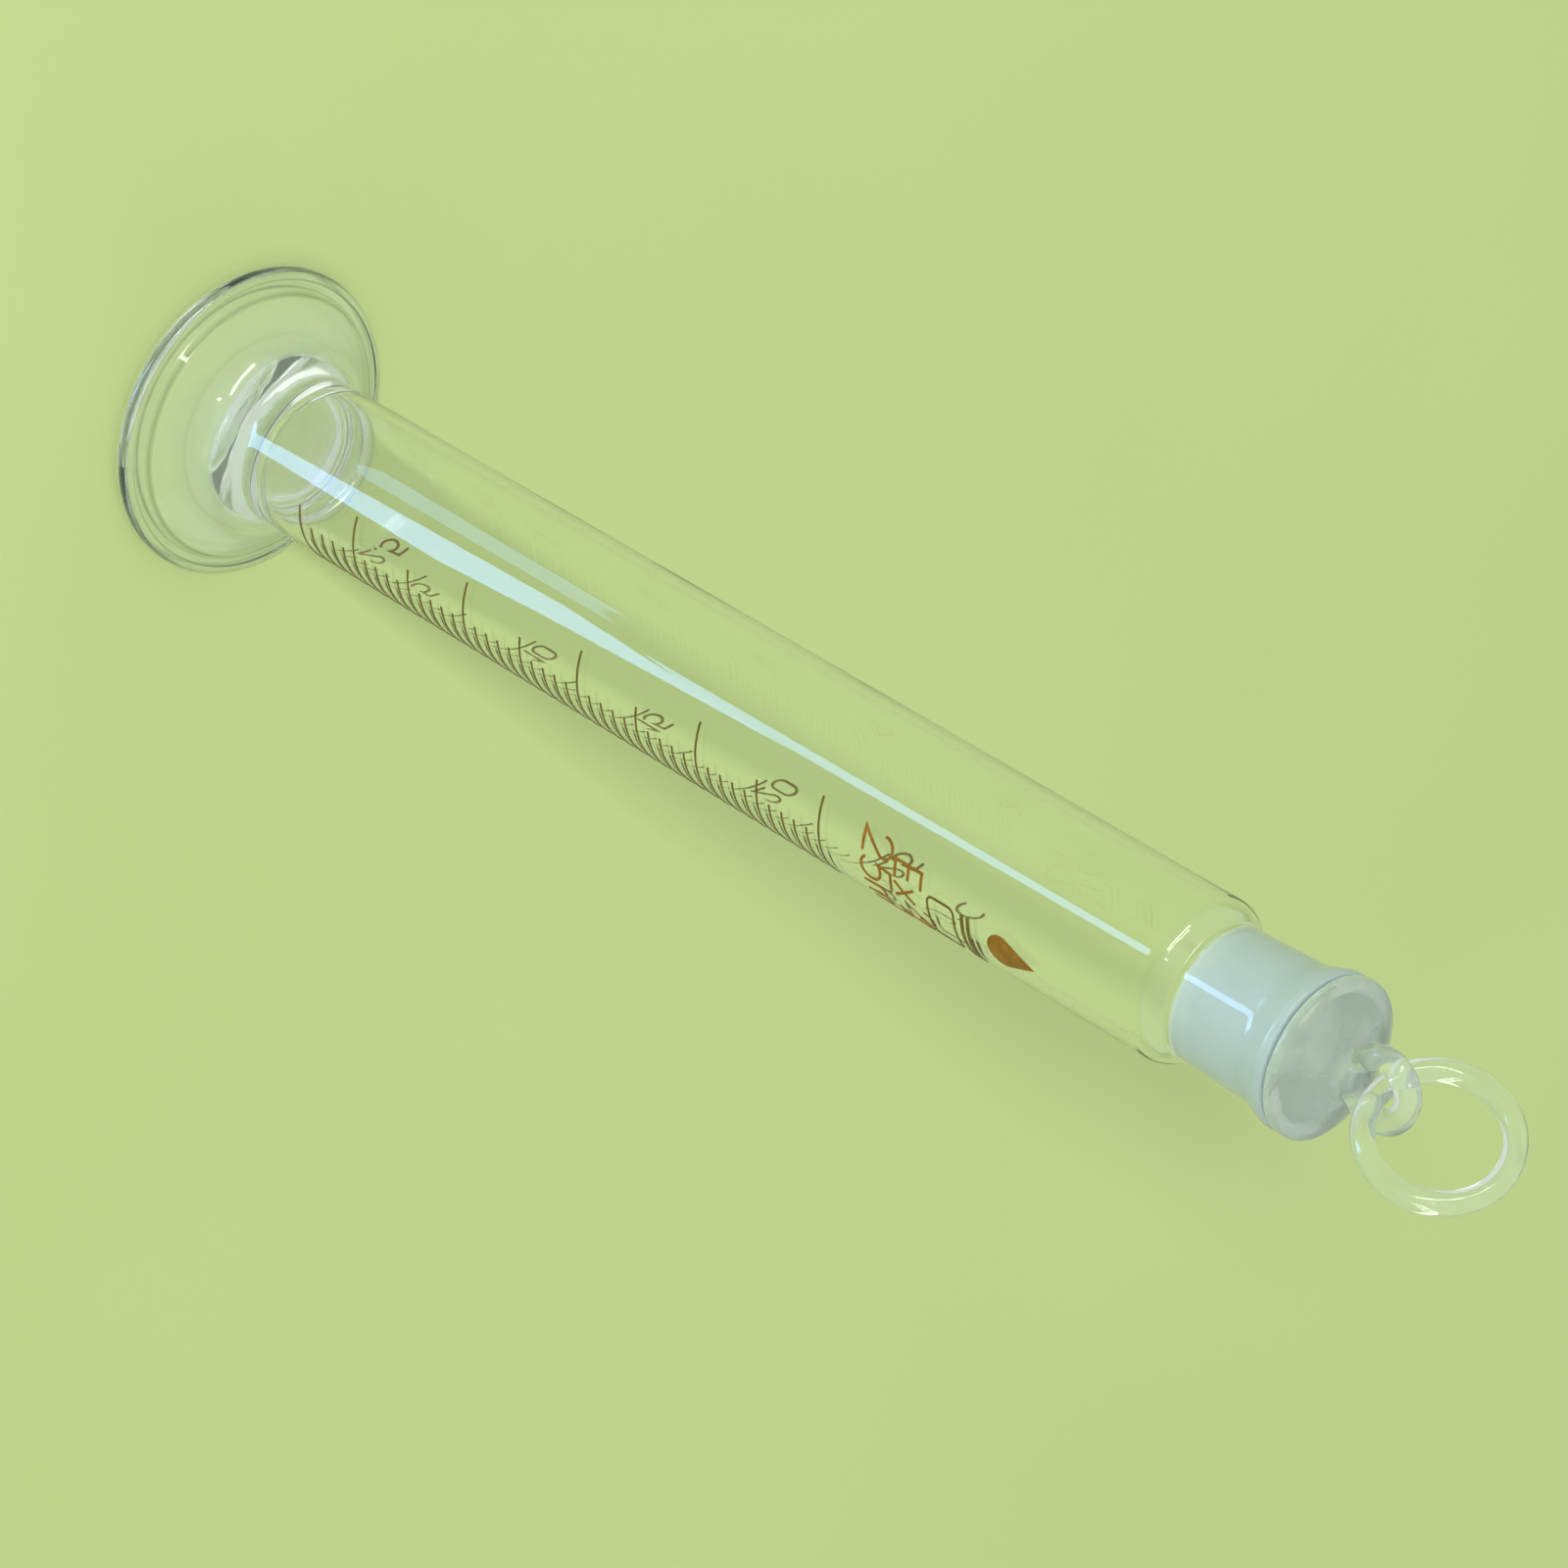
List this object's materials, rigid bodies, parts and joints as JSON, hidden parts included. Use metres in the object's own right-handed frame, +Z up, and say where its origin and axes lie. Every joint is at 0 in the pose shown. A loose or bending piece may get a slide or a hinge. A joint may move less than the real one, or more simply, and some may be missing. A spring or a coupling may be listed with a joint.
{
  "type": "stoppered graduated measuring cylinder",
  "caption": "Clear glass measuring cylinder with a round foot, printed scale, ground neck, ground stopper with an eye, and a loose glass ring.",
  "frame": {"origin": "centre of the foot's underside, on the surface that the cylinder stands on", "axes": "+Z up the tube towards the stopper; -Y faces the side on which the printed scale starts"},
  "size_m": [0.0412, 0.0412, 0.208],
  "materials": {
    "clear_glass": "clear, fire polished",
    "ground_glass": "ground, frosted",
    "enamel_print": "fired brown enamel"
  },
  "bodies": {
    "cylinder": {"foot": "clear_glass", "measuring_tube": "clear_glass", "ground_socket": "ground_glass", "socket_rim": "ground_glass", "scale_lines_long": "enamel_print", "scale_lines_medium": "enamel_print", "scale_lines_short": "enamel_print", "scale_figures": "enamel_print", "capacity_figures": "enamel_print", "temperature_figures": "enamel_print", "blank_panel": "enamel_print", "plain_bars": "enamel_print", "droplet_mark": "enamel_print"},
    "stopper": {"stopper_plug": "ground_glass", "stopper_head": "clear_glass", "stopper_eye": "clear_glass"},
    "ring": {"finger_ring": "clear_glass"}
  },
  "joints": [
    {"name": "stopper_lift", "type": "slide", "parent": "cylinder", "child": "stopper", "axis": [0, 0, 1], "range_m": [0, 0.03]},
    {"name": "ring_swing", "type": "hinge", "parent": "stopper", "child": "ring", "pos_m": [0, 0, 0.1913], "axis": [0.866, -0.5, 0], "range_deg": [-90, 120]}
  ]
}
